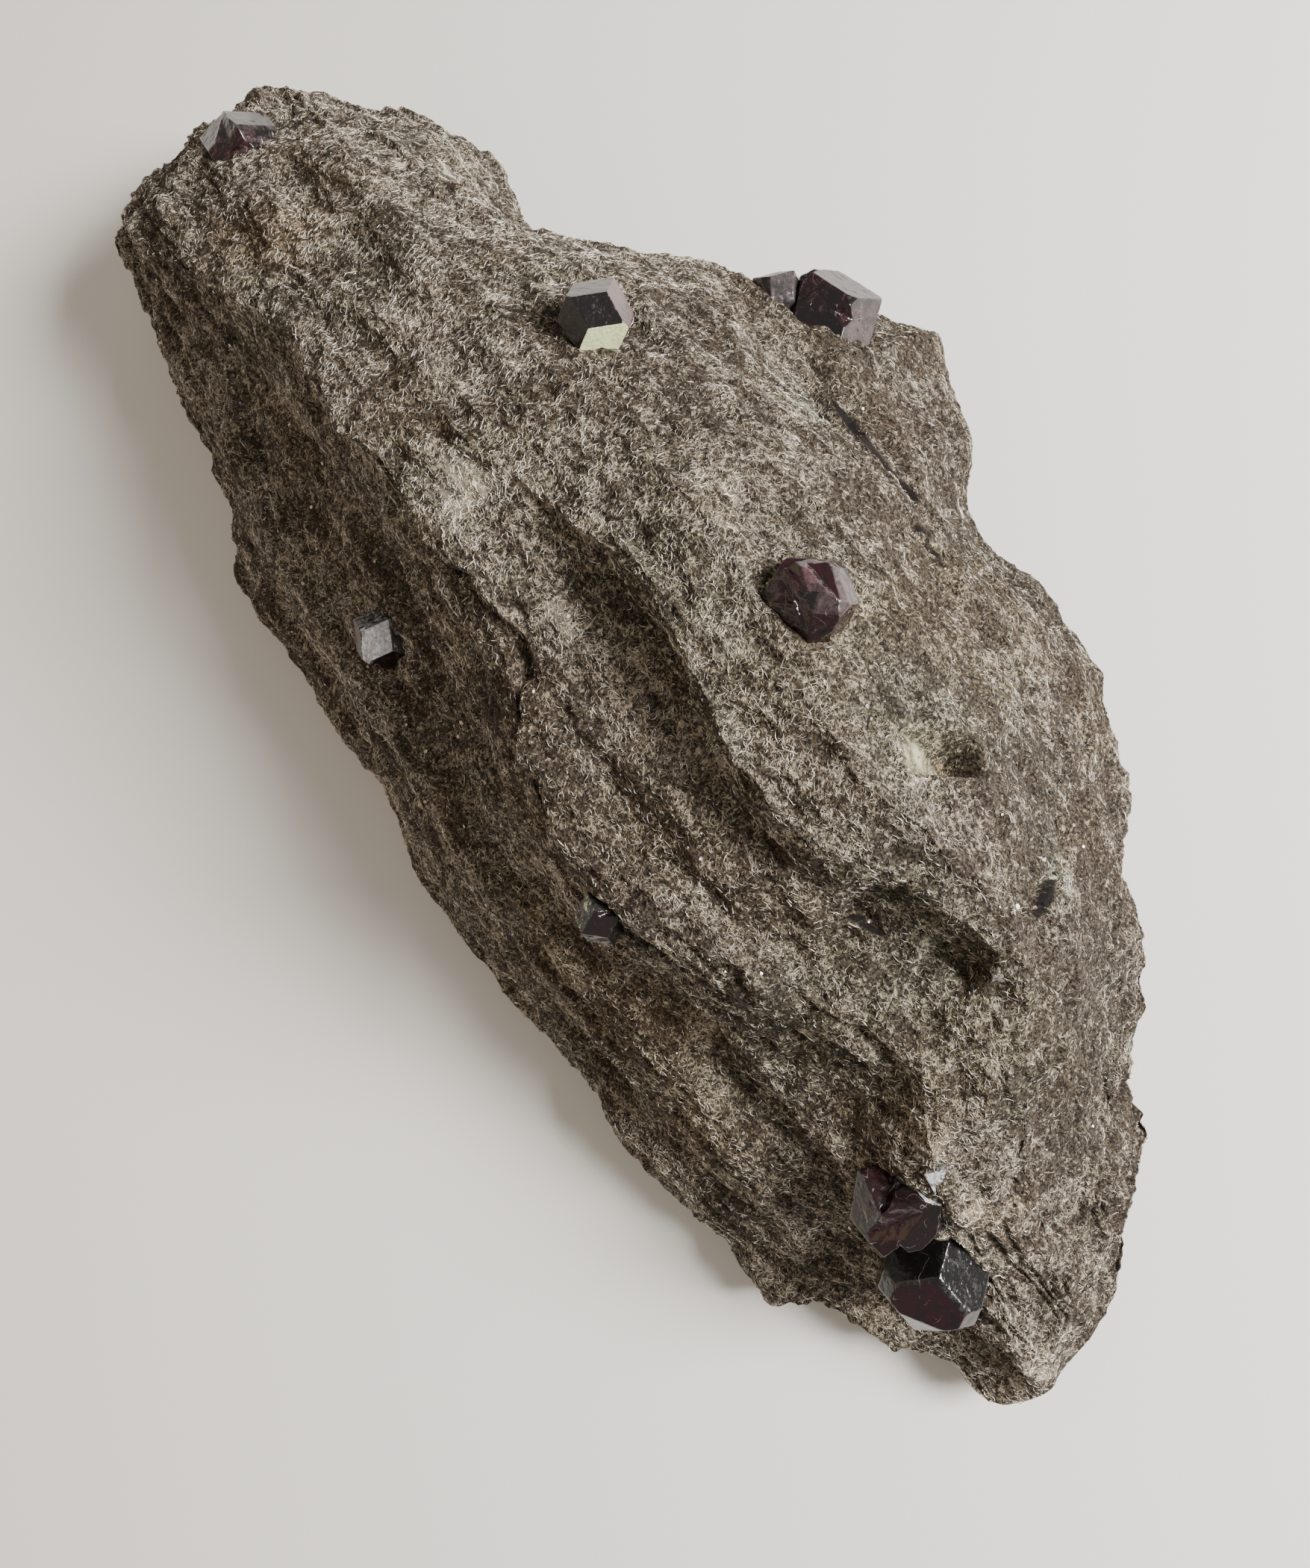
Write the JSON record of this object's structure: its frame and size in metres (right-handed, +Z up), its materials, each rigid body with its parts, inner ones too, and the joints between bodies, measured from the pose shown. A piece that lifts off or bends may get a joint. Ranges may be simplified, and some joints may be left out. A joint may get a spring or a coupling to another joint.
{
  "type": "garnet in matrix",
  "caption": "Long block of felted grey-brown mica schist lying on its flat underside, with dark red garnet crystals set into its top, flanks and edges.",
  "frame": {"origin": "centre of the whole box in X and Y, at the height of the flat underside", "axes": "+X along the block's length from the blunt end to the narrow tip, +Z up from the face it rests on"},
  "size_m": [0.1646, 0.0804, 0.048],
  "materials": {
    "schist": "rough felted needles and mica, matt with small sparkles",
    "almandine": "glossy dark plum crystal faces, some coated dull"
  },
  "bodies": {
    "root": {"matrix": "schist", "end_garnet": "almandine", "green_faced_garnet": "almandine", "edge_garnets": "almandine", "broken_garnet": "almandine", "flank_garnet": "almandine", "shelf_garnet": "almandine", "twin_garnets": "almandine"}
  },
  "joints": []
}
